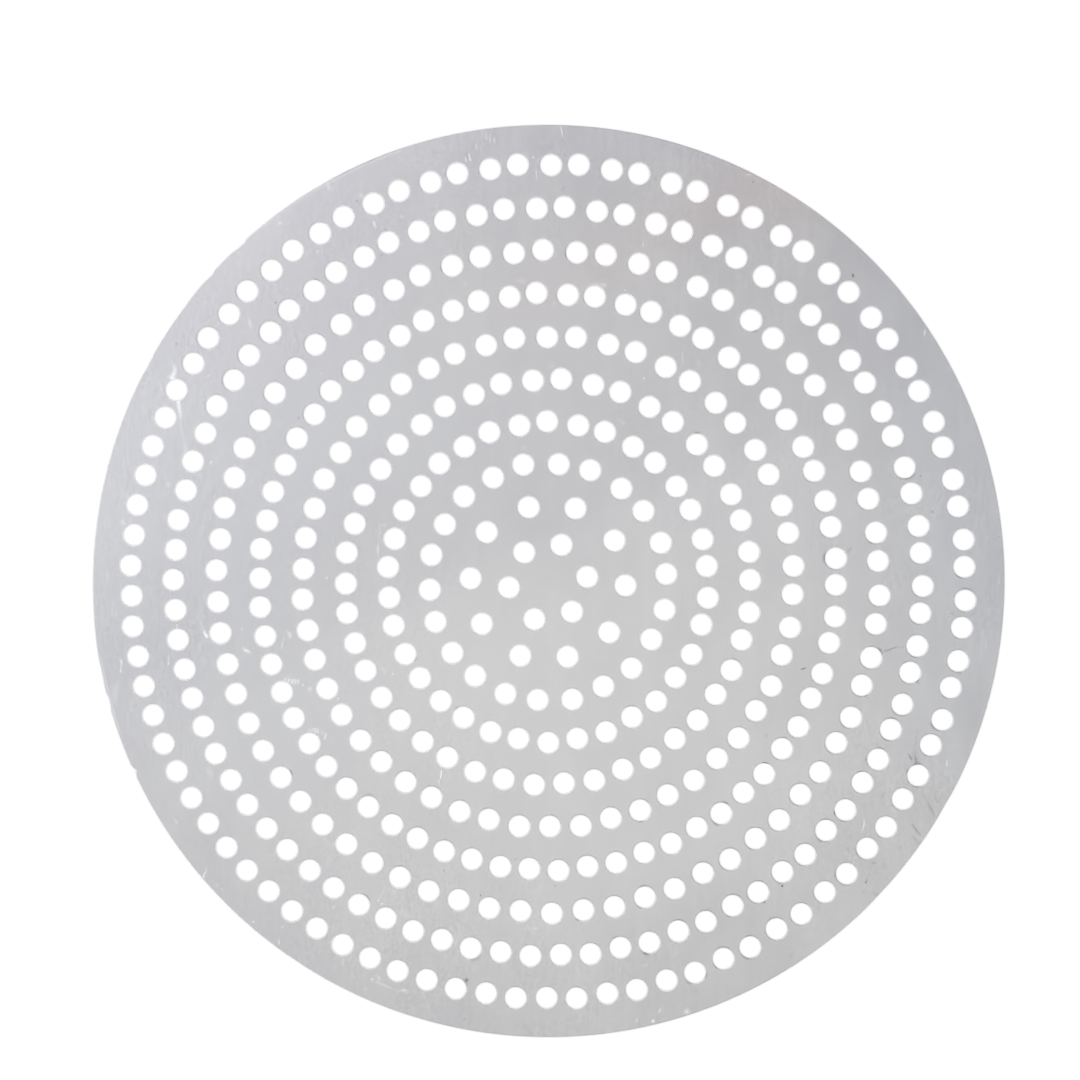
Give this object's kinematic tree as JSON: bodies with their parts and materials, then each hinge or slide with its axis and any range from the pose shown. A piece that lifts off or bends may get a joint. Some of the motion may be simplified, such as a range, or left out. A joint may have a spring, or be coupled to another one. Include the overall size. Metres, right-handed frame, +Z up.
{
  "type": "perforated pizza pan",
  "caption": "Flat round baking disc of thin aluminium sheet, perforated in concentric rings, that carries a pizza into the oven and lets heat and steam through its base.",
  "frame": {"origin": "middle of the disc, on its lower face, where it rests on a deck or rack", "axes": "+Z up, out of the face that the dough lies on and that the punches entered; +X and +Y lie in the sheet, and are right and up in a plan view, in which the holes pair up most towards +X+Y"},
  "size_m": [0.4064, 0.4064, 0.001],
  "materials": {
    "sheet": "satin"
  },
  "bodies": {
    "root": {"perforated_disc": "sheet"}
  },
  "joints": []
}
